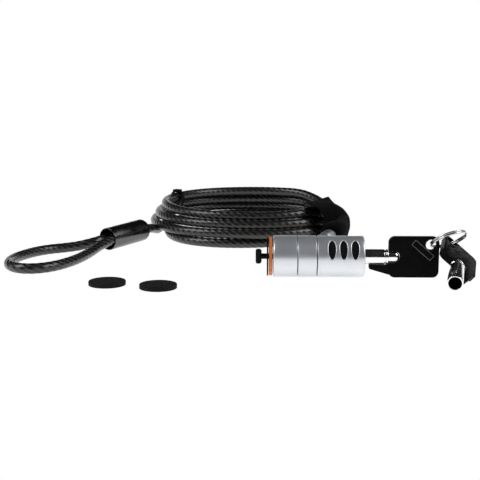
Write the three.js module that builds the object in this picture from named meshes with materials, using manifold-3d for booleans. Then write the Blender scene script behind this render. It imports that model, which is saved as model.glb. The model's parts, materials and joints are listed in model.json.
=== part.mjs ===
// Laptop cable lock: a keyed T-bar lock head on a pivoting, swivelling collar, a coiled steel
// cable with a crimped eye loop, two tubular keys on a split ring, and two rubber pads.
// Millimetres, +Z up. The lock axis runs along +X, with the T-bar at -X and the keys at +X.
import * as THREE from 'three';
import { mergeVertices } from 'three/addons/utils/BufferGeometryUtils.js';
import Module from 'manifold-3d';

const wasm = await Module();
wasm.setup();

// ---------------------------------------------------------------- driving dimensions
const GAP = 0.3;                     // clearance between neighbouring pieces

// Lock head: stations along its axis, measured from the front of the nose ring.
const LOCK_R = 10;                   // outside radius; the axis lies this high above the table
const NOSE_END = 0.75;
const CUSHION_END = 2.7;
const FRONT_END = 14.5;
const BAND_START = 14.85;
const BAND_END = 23.75;
const REAR_START = 24.1;
const REAR_END = 46.6;
const SHELL_BORE_R = 7.7;
const CASE_R = SHELL_BORE_R - GAP;
const CASE_START = 5.5;
const CASE_END = 44;
const CASE_BORE_R = 6.2;
const SHEAR_LINE = 20.4;             // where the rotor meets the driver block

// T-bar and its spindle.
const TBAR_TIP = -5.4;
const TBAR_THICKNESS = 2.9;
const TBAR_LENGTH = 7;
const TBAR_WIDTH = 2.8;
const SPINDLE_R = 1.35;

// Pin tumblers: they stand in a circle on the wall of the tubular key.
const PIN_COUNT = 4;
const PIN_CIRCLE_R = 3.35;
const PIN_R = 0.5;

// Finger grips: three ovals on each side of the rear shell.
const GRIP_STATIONS = [30.9, 36.4, 41.9];
const GRIP_WIDTH = 3.6;
const GRIP_HEIGHT = 9.6;
const GRIP_ANGLE = THREE.MathUtils.degToRad(148.5);  // from +Y towards +Z, around the axis

// Collar pivot.
const PIVOT_X = 19.5;
const PIVOT_Y = 14.2;
const EAR_R = 3.2;
const EAR_INNER_Z = 3;
const EAR_OUTER_Z = 5;
const ANCHOR_PIN_R = 1.4;
const TERMINAL_YAW = THREE.MathUtils.degToRad(61);   // from +X towards +Y
const TERMINAL_BEND = 4;             // from the pin to where the terminal cranks upwards
const TERMINAL_RISE = THREE.MathUtils.degToRad(8);
const SOCKET_START = 3;              // along the cranked part
const SOCKET_END = 24;
const TERMINAL_R = 3.6;

// Keys: local X runs from the tip of the barrel to the bow, Z across the bow.
const BARREL_R = 3.65;
const BARREL_BORE_R = 3.05;
const BARREL_START = 38.2;           // where the tip of the first key stands in the lock
const BOW_START = 58.5;
const BOW_LENGTH = 24.1;
const BOW_HEIGHT = 19.9;
const BOW_THICKNESS = 3.6;
const BOW_CORNER_R = 3;
const SHANK_R = 2.7;
const SHANK_DEPTH = 5.2;
const RING_HOLE_R = 2.6;
const RING_HOLE_INSET = 3.9;
const RING_WIRE_R = 0.65;
const RING_R = 8.75;
const KEY_2_TIP = new THREE.Vector3(84.75, -31, 3.93);
const KEY_2_X = new THREE.Vector3(0.226, 0.965, 0.172);    // from its tip towards its bow
const KEY_2_Z = new THREE.Vector3(-0.761, 0.039, 0.649);   // across its bow, to the ring's side
const RING_FACING = new THREE.Vector3(0.276, -0.473, -0.83);

// Cable.
const CABLE_R = 2.65;
const COIL_CENTRE = new THREE.Vector2(-7, 129);
const SLEEVE_R = 6.2;
const SLEEVE_LENGTH = 30.4;
const SLEEVE_START = new THREE.Vector3(-87.5, 65, 6.3);
const SLEEVE_END = new THREE.Vector3(-70.2, 90, 7.8);
const STRAND_OFFSET = 2.8;           // each strand of the eye loop from the sleeve's centre line
const CRIMP_START = 9.5;
const CRIMP_END = 25.5;
const CRIMP_R = 4.7;

// Pads.
const PAD_R = 8.7;
const PAD_THICKNESS = 1.9;
const PAD_CENTRES = [[-74.5, -19.5], [-50, -25.7]];

// The middle of the footprint of the lock head, keys and pads, which becomes the origin.
const FOOTPRINT_CENTRE = new THREE.Vector2(9.77, -8.5);

// ---------------------------------------------------------------- materials
function material(color, roughness, metalness) {
  return new THREE.MeshStandardMaterial({ color, roughness, metalness });
}

const satinSilver = material(0xb9bec4, 0.35, 0.9);
const chrome = material(0xd8d8d8, 0.1, 1);
const steel = material(0x9a9da0, 0.4, 0.9);
const brass = material(0xc0a050, 0.35, 0.9);
const zinc = material(0xa8a8a4, 0.45, 0.8);
const copperRubber = material(0xd07a3c, 0.6, 0);
const blackPlastic = material(0x101012, 0.35, 0);
const blackRubber = material(0x141415, 0.85, 0);
const blackMetal = material(0x0c0c0e, 0.3, 0.6);
const cableJacket = material(0x26282a, 0.25, 0);
const blackFabric = material(0x0b0b0d, 0.95, 0);

// ---------------------------------------------------------------- solids
function signedVolume(positions, index) {
  const a = new THREE.Vector3();
  const b = new THREE.Vector3();
  const c = new THREE.Vector3();
  let volume = 0;
  for (let i = 0; i < index.length; i += 3) {
    a.fromArray(positions, 3 * index[i]);
    b.fromArray(positions, 3 * index[i + 1]);
    c.fromArray(positions, 3 * index[i + 2]);
    volume += a.dot(b.cross(c)) / 6;
  }
  return volume;
}

// A closed geometry as a manifold, with its shared vertices merged and its faces out.
function solid(geometry) {
  const plain = geometry.clone();
  plain.deleteAttribute('normal');
  plain.deleteAttribute('uv');
  const merged = mergeVertices(plain, 1e-4);
  const vertProperties = new Float32Array(merged.attributes.position.array);
  let triVerts = Uint32Array.from(merged.index.array);
  if (signedVolume(vertProperties, triVerts) < 0) triVerts = triVerts.reverse();
  return new wasm.Manifold(new wasm.Mesh({ numProp: 3, vertProperties, triVerts }));
}

const group = new THREE.Group();
group.position.set(-FOOTPRINT_CENTRE.x, -FOOTPRINT_CENTRE.y, 0);

function addGroup(parent = group) {
  const child = new THREE.Group();
  parent.add(child);
  return child;
}

// Everything inside lockAxis is measured from the lock's own axis.
const lockAxis = addGroup();
lockAxis.position.z = LOCK_R;

function addPiece(name, manifold, look, parent = group) {
  const raw = manifold.getMesh();
  const geometry = new THREE.BufferGeometry();
  geometry.setAttribute('position', new THREE.BufferAttribute(Float32Array.from(raw.vertProperties), 3));
  geometry.setIndex(new THREE.BufferAttribute(Uint32Array.from(raw.triVerts), 1));
  geometry.computeVertexNormals();
  const mesh = new THREE.Mesh(geometry, look);
  mesh.name = name;
  parent.add(mesh);
  return mesh;
}

// A body turned about the X axis, from corners given as [station, radius].
function turned(corners, segments = 32) {
  const profile = corners.map(([station, radius]) => new THREE.Vector2(radius, station));
  const onAxis = corners[0][1] === 0 && corners.at(-1)[1] === 0;
  if (!onAxis) profile.push(profile[0].clone());
  const geometry = new THREE.LatheGeometry(profile, segments);
  geometry.rotateZ(-Math.PI / 2);
  return solid(geometry);
}

function rod(start, end, radius, segments = 16) {
  return turned([[start, 0], [start, radius], [end, radius], [end, 0]], segments);
}

function tube(start, end, inner, outer, segments = 32) {
  return turned([[start, inner], [start, outer], [end, outer], [end, inner]], segments);
}

// A flat outline in the XY plane, thickened evenly about z = 0.
function slab(shape, thickness, curveSegments = 12) {
  const geometry = new THREE.ExtrudeGeometry(shape, { depth: thickness, bevelEnabled: false, curveSegments });
  geometry.translate(0, 0, -thickness / 2);
  return solid(geometry);
}

function moved(manifold, x, y, z) {
  return manifold.translate([x, y, z]);
}

function turnedAboutX(manifold, angle) {
  return manifold.rotate([THREE.MathUtils.radToDeg(angle), 0, 0]);
}

// A round cord along a smooth curve through its points.
function cord(points, steps, sides = 8) {
  const section = new THREE.Shape();
  for (let i = 0; i < sides; i++) {
    const angle = 2 * Math.PI * i / sides;
    const place = [CABLE_R * Math.cos(angle), CABLE_R * Math.sin(angle)];
    if (i === 0) section.moveTo(...place);
    else section.lineTo(...place);
  }
  const path = new THREE.CatmullRomCurve3(points, false, 'centripetal');
  return solid(new THREE.ExtrudeGeometry(section, { steps, extrudePath: path, bevelEnabled: false }));
}

// ---------------------------------------------------------------- lock head: outer casing
function addCasing() {
  const edge = 1.2;
  addPiece('nose_ring', tube(0, NOSE_END, 4.4, 9.45, 40), blackPlastic, lockAxis);
  addPiece('cushion_ring', tube(NOSE_END + GAP, CUSHION_END, 4.6, 9.3, 40), copperRubber, lockAxis);
  addPiece('front_shell', turned([
    [CUSHION_END + GAP, SPINDLE_R + 0.5],
    [CUSHION_END + GAP, LOCK_R - 0.8],
    [CUSHION_END + GAP + 0.8, LOCK_R],
    [FRONT_END - 0.3, LOCK_R],
    [FRONT_END, LOCK_R - 0.3],
    [FRONT_END, SHELL_BORE_R],
    [CASE_START - GAP, SHELL_BORE_R],
    [CASE_START - GAP, SPINDLE_R + 0.5],
  ], 40), satinSilver, lockAxis);

  const wall = turned([
    [REAR_START, SHELL_BORE_R],
    [REAR_START, LOCK_R - 0.3],
    [REAR_START + 0.3, LOCK_R],
    [REAR_END - edge, LOCK_R],
    [REAR_END - edge / 3, LOCK_R - edge / 3],
    [REAR_END, LOCK_R - edge],
    [REAR_END, BARREL_R + 0.5],
    [CASE_END + GAP, BARREL_R + 0.5],
    [CASE_END + GAP, SHELL_BORE_R],
  ], 40);
  const ovals = gripPlaces().map(([station, angle]) => gripPrism(station, angle, 0));
  const pockets = wasm.Manifold.union(ovals).intersect(tube(REAR_START, REAR_END, 9, 12, 48));
  addPiece('rear_shell', wall.subtract(pockets), satinSilver, lockAxis);
}

function gripPlaces() {
  const sides = [GRIP_ANGLE, GRIP_ANGLE + Math.PI];
  return sides.flatMap((angle) => GRIP_STATIONS.map((station) => [station, angle]));
}

// An oval prism that runs outwards through the wall of the casing.
function gripPrism(station, angle, inset) {
  const oval = new THREE.Shape();
  oval.absellipse(0, 0, GRIP_WIDTH / 2 - inset, GRIP_HEIGHT / 2 - inset, 0, 2 * Math.PI, false, 0);
  const prism = moved(slab(oval, LOCK_R / 2, 9), 0, 0, LOCK_R);
  return moved(turnedAboutX(prism, angle - Math.PI / 2), station, 0, 0);
}

function addGrips() {
  const skin = tube(REAR_START, REAR_END, 9 + GAP, 9.8, 48);
  gripPlaces().forEach(([station, angle], i) => {
    const insert = gripPrism(station, angle, GAP).intersect(skin);
    addPiece(`grip_${i + 1}`, insert, blackRubber, lockAxis);
  });
}

// ---------------------------------------------------------------- lock head: mechanism
function pinPlaces() {
  return Array.from({ length: PIN_COUNT }, (_, i) => {
    const angle = Math.PI / 4 + 2 * Math.PI * i / PIN_COUNT;
    return [PIN_CIRCLE_R * Math.cos(angle), PIN_CIRCLE_R * Math.sin(angle)];
  });
}

function pinHoles(start, end) {
  return pinPlaces().map(([y, z]) => moved(rod(start, end, PIN_R + 0.25, 10), 0, y, z));
}

function addMechanism() {
  const blockStart = 11;
  const blockFace = SHEAR_LINE - GAP;
  addPiece('lock_case', turned([
    [CASE_START, SPINDLE_R + 0.5],
    [CASE_START, CASE_R],
    [CASE_END, CASE_R],
    [CASE_END, CASE_BORE_R],
    [blockStart - GAP, CASE_BORE_R],
    [blockStart - GAP, SPINDLE_R + 0.5],
  ]), blackMetal, lockAxis);

  const block = tube(blockStart, blockFace, SPINDLE_R + GAP, CASE_BORE_R - GAP);
  const chambers = wasm.Manifold.union(pinHoles(blockStart + 1.5, SHEAR_LINE));
  addPiece('driver_block', block.subtract(chambers), brass, lockAxis);
  pinPlaces().forEach(([y, z], i) => {
    const n = i + 1;
    addPiece(`pin_spring_${n}`, moved(rod(blockStart + 1.8, 16.4, PIN_R, 8), 0, y, z), steel, lockAxis);
    addPiece(`driver_pin_${n}`, moved(rod(16.7, blockFace, PIN_R, 8), 0, y, z), steel, lockAxis);
    addPiece(`key_pin_${n}`, moved(rod(SHEAR_LINE, BARREL_START - GAP, PIN_R, 8), 0, y, z), brass, lockAxis);
  });

  const keyway = 36.5;
  const rotorEnd = CASE_END - GAP;
  const crossPinX = 24;
  const rotorBody = turned([
    [SHEAR_LINE, SPINDLE_R + GAP],
    [SHEAR_LINE, CASE_BORE_R - GAP],
    [rotorEnd, CASE_BORE_R - GAP],
    [rotorEnd, BARREL_R + GAP],
    [keyway, BARREL_R + GAP],
    [keyway, SPINDLE_R + GAP],
  ]);
  const crossPin = rod(-5.2, 5.2, 0.6, 10).rotate([0, 0, 90]);
  const crossHole = rod(-7, 7, 0.9, 10).rotate([0, 0, 90]);
  const rotor = rotorBody
    .subtract(wasm.Manifold.union(pinHoles(SHEAR_LINE - 1, keyway + 1)))
    .subtract(moved(crossHole, crossPinX, 0, 0));
  addPiece('rotor', rotor, brass, lockAxis);
  addPiece('spindle_pin', moved(crossPin, crossPinX, 0, 0), steel, lockAxis);

  const stemStart = 30;
  addPiece('centre_post', turned([
    [stemStart, 0],
    [stemStart, SPINDLE_R],
    [keyway + GAP, SPINDLE_R],
    [keyway + GAP, BARREL_BORE_R - GAP],
    [REAR_END - 1.5, BARREL_BORE_R - GAP],
    [REAR_END - 1.5, 0],
  ], 24), steel, lockAxis);

  addTBar(stemStart - GAP, moved(crossHole, crossPinX, 0, 0));
}

// The T-bar is one piece with its spindle; its head is chamfered at both ends.
function addTBar(spindleEnd, crossHole) {
  const half = TBAR_LENGTH / 2;
  const shoulder = half - 0.7;
  const face = TBAR_TIP + TBAR_THICKNESS;
  const outline = new THREE.Shape();
  outline.moveTo(TBAR_TIP + 0.5, -half);
  outline.lineTo(face - 0.8, -half);
  outline.lineTo(face, -shoulder);
  outline.lineTo(face, shoulder);
  outline.lineTo(face - 0.8, half);
  outline.lineTo(TBAR_TIP + 0.5, half);
  outline.lineTo(TBAR_TIP, shoulder);
  outline.lineTo(TBAR_TIP, -shoulder);
  const head = slab(outline, TBAR_WIDTH).rotate([90, 0, 0]);
  const spindle = rod(TBAR_TIP + 1, spindleEnd, SPINDLE_R);
  addPiece('t_bar', head.add(spindle).subtract(crossHole), blackMetal, lockAxis);
}

// ---------------------------------------------------------------- collar and cable terminal
function earShape() {
  const shape = new THREE.Shape();
  shape.moveTo(PIVOT_X - EAR_R, 8.2);
  shape.lineTo(PIVOT_X - EAR_R, PIVOT_Y);
  shape.absarc(PIVOT_X, PIVOT_Y, EAR_R, Math.PI, 0, true);
  shape.lineTo(PIVOT_X + EAR_R, 8.2);
  return shape;
}

function uprightRod(radius, halfHeight, segments = 20) {
  return moved(rod(-halfHeight, halfHeight, radius, segments).rotate([0, 90, 0]), PIVOT_X, PIVOT_Y, 0);
}

function addCollar() {
  const ring = tube(BAND_START, BAND_END, SHELL_BORE_R, LOCK_R, 40);
  const earThickness = EAR_OUTER_Z - EAR_INNER_Z;
  const ear = slab(earShape(), earThickness);
  const earCentre = (EAR_OUTER_Z + EAR_INNER_Z) / 2;
  const band = ring
    .add(moved(ear, 0, 0, earCentre))
    .add(moved(ear, 0, 0, -earCentre))
    .subtract(uprightRod(ANCHOR_PIN_R + GAP, 7));
  addPiece('swivel_band', band, satinSilver, lockAxis);
  addPiece('anchor_pin', uprightRod(ANCHOR_PIN_R, EAR_OUTER_Z + 0.3), steel, lockAxis);
}

// The terminal is an eye on the anchor pin, a flat neck and a socket crimped on the cable.
// The socket is cranked upwards, so the cable lifts off the table.
function addTerminal() {
  const eyeHalf = EAR_INNER_Z - 0.4;
  const chamfer = 0.6;
  const neckHalf = 2.5;
  const eye = rod(-eyeHalf, eyeHalf, EAR_R, 24).rotate([0, 90, 0]);
  const outline = new THREE.Shape();
  outline.moveTo(0, -neckHalf);
  outline.lineTo(TERMINAL_BEND + SOCKET_START + 1, -neckHalf);
  outline.lineTo(TERMINAL_BEND + SOCKET_START + 1, neckHalf);
  outline.lineTo(0, neckHalf);
  const neck = slab(outline, 2 * eyeHalf);
  const socket = turned([
    [SOCKET_START, 0],
    [SOCKET_START, TERMINAL_R - chamfer],
    [SOCKET_START + chamfer, TERMINAL_R],
    [SOCKET_END - chamfer, TERMINAL_R],
    [SOCKET_END, TERMINAL_R - chamfer],
    [SOCKET_END, 0],
  ], 24).rotate([0, -THREE.MathUtils.radToDeg(TERMINAL_RISE), 0]);
  const hole = rod(-5, 5, ANCHOR_PIN_R + GAP, 20).rotate([0, 90, 0]);
  const terminal = eye.add(neck).add(moved(socket, TERMINAL_BEND, 0, 0)).subtract(hole);
  const place = addGroup(lockAxis);
  place.position.set(PIVOT_X, PIVOT_Y, 0);
  place.rotation.z = TERMINAL_YAW;
  addPiece('cable_terminal', terminal, zinc, place);
}

// ---------------------------------------------------------------- keys and ring
// A key's own frame has its origin on the barrel's axis where the bow begins.
function bowShape() {
  const half = BOW_HEIGHT / 2;
  const r = BOW_CORNER_R;
  const shape = new THREE.Shape();
  shape.moveTo(r, -half);
  shape.lineTo(BOW_LENGTH - r, -half);
  shape.absarc(BOW_LENGTH - r, -half + r, r, -Math.PI / 2, 0, false);
  shape.lineTo(BOW_LENGTH, half - r);
  shape.absarc(BOW_LENGTH - r, half - r, r, 0, Math.PI / 2, false);
  shape.lineTo(r, half);
  shape.absarc(r, half - r, r, Math.PI / 2, Math.PI, false);
  // A tapered spur reaches along the underside of the barrel.
  shape.lineTo(0, -BARREL_R - GAP);
  shape.lineTo(-9.3, -BARREL_R - GAP);
  shape.lineTo(-9.3, -BARREL_R - 2.2);
  shape.lineTo(0, -half + 1.4);
  shape.absarc(r, -half + r, r, Math.PI + 0.6, 1.5 * Math.PI, false);
  return shape;
}

function addKey(number, parent) {
  const tip = BARREL_START - BOW_START;
  const bore = 8.6;
  const barrel = turned([
    [tip + bore, 0],
    [tip + bore, BARREL_BORE_R],
    [tip, BARREL_BORE_R],
    [tip, BARREL_R],
    [-GAP, BARREL_R],
    [-GAP, SHANK_R],
    [SHANK_DEPTH - 1, SHANK_R],
    [SHANK_DEPTH, SHANK_R - 1],
    [SHANK_DEPTH, 0],
  ], 24);
  const outline = slab(bowShape(), BOW_THICKNESS, 5).rotate([90, 0, 0]);
  const socket = rod(-1, SHANK_DEPTH + GAP, SHANK_R + GAP, 24);
  const hole = moved(
    rod(-5, 5, RING_HOLE_R, 20).rotate([0, 0, 90]),
    BOW_LENGTH - RING_HOLE_INSET, 0, BOW_HEIGHT / 2 - RING_HOLE_INSET,
  );
  addPiece(`key_${number}_barrel`, barrel, chrome, parent);
  addPiece(`key_${number}_bow`, outline.subtract(socket).subtract(hole), blackPlastic, parent);
}

// The second key hangs on the ring with the tip of its barrel on the table.
function secondKeyFrame() {
  const x = KEY_2_X.clone().normalize();
  const y = KEY_2_Z.clone().cross(x).normalize();
  const z = x.clone().cross(y);
  const origin = KEY_2_TIP.clone().addScaledVector(x, BOW_START - BARREL_START);
  return new THREE.Matrix4().makeBasis(x, y, z).setPosition(origin);
}

function addKeys() {
  const firstKey = addGroup(lockAxis);
  firstKey.position.x = BOW_START;
  addKey(1, firstKey);

  const secondKey = addGroup();
  secondKeyFrame().decompose(secondKey.position, secondKey.quaternion, secondKey.scale);
  addKey(2, secondKey);
}

// The ring is the circle through both keys' holes that faces the stated way.
function addKeyRing() {
  const holeInKey = new THREE.Vector3(BOW_LENGTH - RING_HOLE_INSET, 0, BOW_HEIGHT / 2 - RING_HOLE_INSET);
  const hole1 = holeInKey.clone().add(new THREE.Vector3(BOW_START, 0, LOCK_R));
  const hole2 = holeInKey.clone().applyMatrix4(secondKeyFrame());
  const chord = hole2.clone().sub(hole1);
  const toCentre = RING_FACING.clone().cross(chord).normalize();
  if (toCentre.z < 0) toCentre.negate();
  const facing = toCentre.clone().cross(chord).normalize();
  const centre = hole1.clone().add(hole2).multiplyScalar(0.5);
  centre.addScaledVector(toCentre, Math.sqrt(RING_R ** 2 - chord.lengthSq() / 4));
  const ring = addGroup();
  ring.position.copy(centre);
  ring.quaternion.setFromUnitVectors(new THREE.Vector3(0, 0, 1), facing);
  addPiece('key_ring', solid(new THREE.TorusGeometry(RING_R, RING_WIRE_R, 7, 36)), chrome, ring);
}

// ---------------------------------------------------------------- cable, coil and what holds it
// The outside of the coil: corners as [radius, height] about its upright axis.
const COIL_OUTLINE = [
  [50, 0], [60.6, 0], [60.6, 5.4], [59.3, 8.4], [57, 14.2], [53.8, 18.7], [52.3, 21.2],
  [49.7, 21.2], [48.3, 18.6], [49.4, 10], [49.4, 2],
];

function coilRing(outline, segments = 48) {
  const profile = outline.map(([radius, height]) => new THREE.Vector2(radius, height));
  profile.push(profile[0].clone());
  const geometry = new THREE.LatheGeometry(profile, segments);
  geometry.rotateX(Math.PI / 2);
  return solid(geometry);
}

// The part of a ring about the coil's axis that lies within an angle each side of a direction.
function sector(ring, middleDegrees, halfDegrees) {
  const reach = 120;
  const half = THREE.MathUtils.degToRad(halfDegrees);
  const wedge = new THREE.Shape();
  wedge.moveTo(0, 0);
  wedge.lineTo(reach * Math.cos(half), -reach * Math.sin(half));
  wedge.lineTo(reach * Math.cos(half), reach * Math.sin(half));
  return ring.intersect(slab(wedge, 100).rotate([0, 0, middleDegrees]));
}

// The lead hangs from the cable terminal to the top turn of the coil.
function leadPoints() {
  return [
    [33.2, 38.9, 13.4], [36.4, 46.6, 14], [38.7, 55.6, 13.6], [40.3, 64.5, 12.9],
    [41.6, 74, 12.4], [42.6, 84, 12.3], [43.3, 94, 12.6],
  ].map((point) => new THREE.Vector3(...point));
}

function sleeveFrame() {
  const along = SLEEVE_END.clone().sub(SLEEVE_START).normalize();
  const across = new THREE.Vector3(along.y, -along.x, 0).normalize();
  return { along, across };
}

// A point in the sleeve, from its open end and to one side of its centre line.
function inSleeve(distance, offset) {
  const { along, across } = sleeveFrame();
  return SLEEVE_START.clone().addScaledVector(along, distance).addScaledVector(across, offset);
}

function loopPoints() {
  const free = [
    [-93.2, 61.6, 5.6], [-97.6, 59.4, 4.7], [-103, 58.6, 3.6], [-110, 57.4, 2.8], [-116.8, 53.8, 2.66],
    [-122.4, 47.6, 2.66], [-126.4, 40, 2.66], [-129.2, 31.6, 2.66], [-130.3, 23, 2.66], [-129.2, 14.6, 2.66],
    [-125.6, 7.6, 2.66], [-120.2, 3.6, 2.66], [-114.4, 3.2, 2.66], [-108.8, 6, 2.66], [-104.2, 11.2, 2.66],
    [-100.2, 19, 2.66], [-96.6, 29, 2.8], [-93.2, 41.6, 3.4], [-90, 52.8, 4.7],
  ].map((point) => new THREE.Vector3(...point));
  const away = [inSleeve(CRIMP_START - GAP, -STRAND_OFFSET), inSleeve(2, -STRAND_OFFSET)];
  const back = [inSleeve(2, STRAND_OFFSET), inSleeve(CRIMP_START - GAP, STRAND_OFFSET)];
  return [...away, ...free, ...back];
}

function tailPoints() {
  const free = [[-68, 94.2, 7.5], [-67, 98.8, 6.8], [-66.3, 103.6, 5.8]];
  return [
    inSleeve(CRIMP_END + GAP, 0),
    inSleeve(SLEEVE_LENGTH, 0),
    ...free.map((point) => new THREE.Vector3(...point)),
  ];
}

function addSleeve() {
  const { along } = sleeveFrame();
  const place = addGroup();
  place.position.copy(SLEEVE_START);
  place.quaternion.setFromUnitVectors(new THREE.Vector3(1, 0, 0), along);
  const hood = 5.9;
  const neck = CABLE_R + GAP;
  addPiece('ferrule_sleeve', turned([
    [0, hood],
    [0.2, SLEEVE_R],
    [SLEEVE_LENGTH - 5, SLEEVE_R],
    [SLEEVE_LENGTH - 1.6, SLEEVE_R - 0.9],
    [SLEEVE_LENGTH, SLEEVE_R - 2.4],
    [SLEEVE_LENGTH, neck],
    [CRIMP_END + 2 * GAP, neck],
    [CRIMP_END + 2 * GAP, CRIMP_R + GAP],
    [CRIMP_START, CRIMP_R + GAP],
    [CRIMP_START - 0.5, hood],
  ]), blackPlastic, place);
  addPiece('crimp_ferrule', rod(CRIMP_START, CRIMP_END, CRIMP_R, 20), zinc, place);
}

function addCable() {
  addPiece('cable_lead', cord(leadPoints(), 14), cableJacket);
  addPiece('cable_loop', cord(loopPoints(), 60), cableJacket);
  const coilPlace = addGroup();
  coilPlace.position.set(COIL_CENTRE.x, COIL_CENTRE.y, 0);
  addPiece('cable_coil', coilRing(COIL_OUTLINE), cableJacket, coilPlace);
  addPiece('cable_tail', cord(tailPoints(), 10), cableJacket);
  addSleeve();

  // The strap and the tie are saddles over the top and both sides of the coil.
  const strap = coilRing([
    [48, 0.6], [49, 0.6], [49, 11], [47.9, 18.6], [49.5, 21.6], [52.6, 21.6], [54.4, 18.9],
    [57.6, 14.4], [61, 5.5], [61, 0.6], [62.6, 0.6], [66.6, 12], [68, 18], [64, 23.6], [49, 24.4],
    [46.4, 19], [47.6, 10],
  ], 72);
  const leadRoom = leadPoints().concat(new THREE.Vector3(43.6, 104, 13));
  const strapPiece = moved(sector(strap, -37, 14), COIL_CENTRE.x, COIL_CENTRE.y, 0);
  addPiece('strap', strapPiece.subtract(wideCord(leadRoom)), blackFabric);

  const tie = coilRing([
    [47.2, 12], [48.6, 12], [48, 18.6], [49.5, 21.5], [52.5, 21.5], [54.2, 18.8], [57.4, 14],
    [58.6, 14], [55, 20], [53, 22.7], [49, 22.7], [46.8, 19],
  ], 72);
  addPiece('cable_tie', sector(tie, 163, 3), blackPlastic, coilPlace);
}

// Room for the lead where it passes under the strap.
function wideCord(points) {
  const section = new THREE.Shape();
  section.absarc(0, 0, CABLE_R + 2 * GAP, 0, 2 * Math.PI, false);
  const path = new THREE.CatmullRomCurve3(points, false, 'centripetal');
  const options = { steps: 16, curveSegments: 5, extrudePath: path, bevelEnabled: false };
  return solid(new THREE.ExtrudeGeometry(section, options));
}

// ---------------------------------------------------------------- pads
function addPads() {
  PAD_CENTRES.forEach(([x, y], i) => {
    const disc = rod(0, PAD_THICKNESS, PAD_R, 40).rotate([0, -90, 0]);
    addPiece(`pad_${i + 1}`, moved(disc, x, y, 0), blackRubber);
  });
}

addCasing();
addGrips();
addMechanism();
addCollar();
addTerminal();
addKeys();
addKeyRing();
addCable();
addPads();

export default group;
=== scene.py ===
"""The look of a laptop cable lock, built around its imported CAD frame.

Shapes are given in millimetres in the CAD source's own frames and reach metres through a matrix:
LOCK has its X axis along the lock, from the front of the nose ring; TABLE has the same origin on the
table; each key has its origin on its barrel's axis, where the bow begins.
"""

import json
import math

import bmesh
import bpy
from mathutils import Matrix, Vector


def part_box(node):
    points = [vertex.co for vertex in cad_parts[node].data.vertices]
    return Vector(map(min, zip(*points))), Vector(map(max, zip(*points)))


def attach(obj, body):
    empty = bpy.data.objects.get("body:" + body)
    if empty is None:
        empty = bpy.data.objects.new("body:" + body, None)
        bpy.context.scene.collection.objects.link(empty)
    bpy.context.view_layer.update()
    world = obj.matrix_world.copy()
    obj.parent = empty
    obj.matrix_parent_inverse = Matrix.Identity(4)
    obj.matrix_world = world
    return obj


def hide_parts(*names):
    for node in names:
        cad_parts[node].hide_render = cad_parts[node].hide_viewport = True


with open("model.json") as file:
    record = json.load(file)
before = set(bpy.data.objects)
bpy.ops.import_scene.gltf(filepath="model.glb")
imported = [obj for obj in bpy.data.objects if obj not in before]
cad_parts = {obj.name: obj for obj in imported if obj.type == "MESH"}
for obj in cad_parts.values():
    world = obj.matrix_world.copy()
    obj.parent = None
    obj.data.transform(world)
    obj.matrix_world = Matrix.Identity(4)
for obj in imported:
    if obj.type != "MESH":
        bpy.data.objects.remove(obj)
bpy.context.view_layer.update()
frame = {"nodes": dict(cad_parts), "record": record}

# ---------------------------------------------------------------- frames
MM = 0.001
TAU = 2 * math.pi
nose_low, nose_high = (Vector(corner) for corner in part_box("nose_ring"))
FOOT = Vector((nose_low.x, (nose_low.y + nose_high.y) / 2, 0))
AXIS_HEIGHT = (nose_low.z + nose_high.z) / 2
TABLE = Matrix.Translation(FOOT) @ Matrix.Scale(MM, 4)
LOCK = Matrix.Translation(FOOT + Vector((0, 0, AXIS_HEIGHT))) @ Matrix.Scale(MM, 4)

# ---------------------------------------------------------------- driving dimensions, in mm
LOCK_R = 10
NOSE_END = 0.75
CUSHION_START = 1.05
CUSHION_END = 2.7
FRONT_START = 3
FRONT_END = 14.5
BAND_START = 14.85
BAND_END = 23.75
REAR_START = 24.1
REAR_END = 46.6
SHELL_BORE_R = 7.7
TBAR_TIP = -5.4
TBAR_THICKNESS = 2.9
TBAR_LENGTH = 7
TBAR_WIDTH = 2.8
SPINDLE_R = 1.35
SPINDLE_END = 29.7
GRIP_STATIONS = (30.9, 36.4, 41.9)
GRIP_PITCH = 5.5
GRIP_HALF_WIDTH = 1.8
GRIP_HALF_HEIGHT = 4.8
GRIP_ANGLE = math.radians(148.5)
POCKET_FLOOR_R = 9
PIVOT = Vector((19.5, 14.2, 0))
EAR_R = 3.2
EAR_INNER_Z = 3
EAR_OUTER_Z = 5
ANCHOR_PIN_R = 1.4
TERMINAL_YAW = math.radians(61)
TERMINAL_BEND = 4
TERMINAL_RISE = math.radians(8)
SOCKET_START = 3
SOCKET_END = 24
TERMINAL_R = 3.6
BARREL_R = 3.65
BARREL_BORE_R = 3.05
BARREL_TIP = -20.3
BOW_START = 58.5
BOW_LENGTH = 24.1
BOW_HEIGHT = 19.9
BOW_THICKNESS = 3.6
SHANK_R = 2.7
SHANK_DEPTH = 5.2
SHANK_DOME = 2.2                     # length of the shank's domed end
DOME_STEPS = 10
BORE_DEPTH = 8.6
RING_HOLE_R = 2.6
RING_HOLE_INSET = 3.9
RING_R = 8.75
KEY_2_TIP = Vector((84.75, -31, 3.93))
KEY_2_X = Vector((0.226, 0.965, 0.172))
KEY_2_Z = Vector((-0.761, 0.039, 0.649))
RING_FACING = Vector((0.276, -0.473, -0.83))
CABLE_R = 2.65
COIL_CENTRE = Vector((-7, 129, 0))
SLEEVE_R = 6.2
SLEEVE_LENGTH = 30.4
SLEEVE_START = Vector((-87.5, 65, 6.3))
SLEEVE_END = Vector((-70.2, 90, 7.8))
STRAND_OFFSET = 2.8
CRIMP_START = 9.5
CRIMP_END = 25.5
CRIMP_R = 4.7
PAD_R = 8.7
PAD_THICKNESS = 1.9
PAD_CENTRES = ((-74.5, -19.5), (-50, -25.7))


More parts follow.
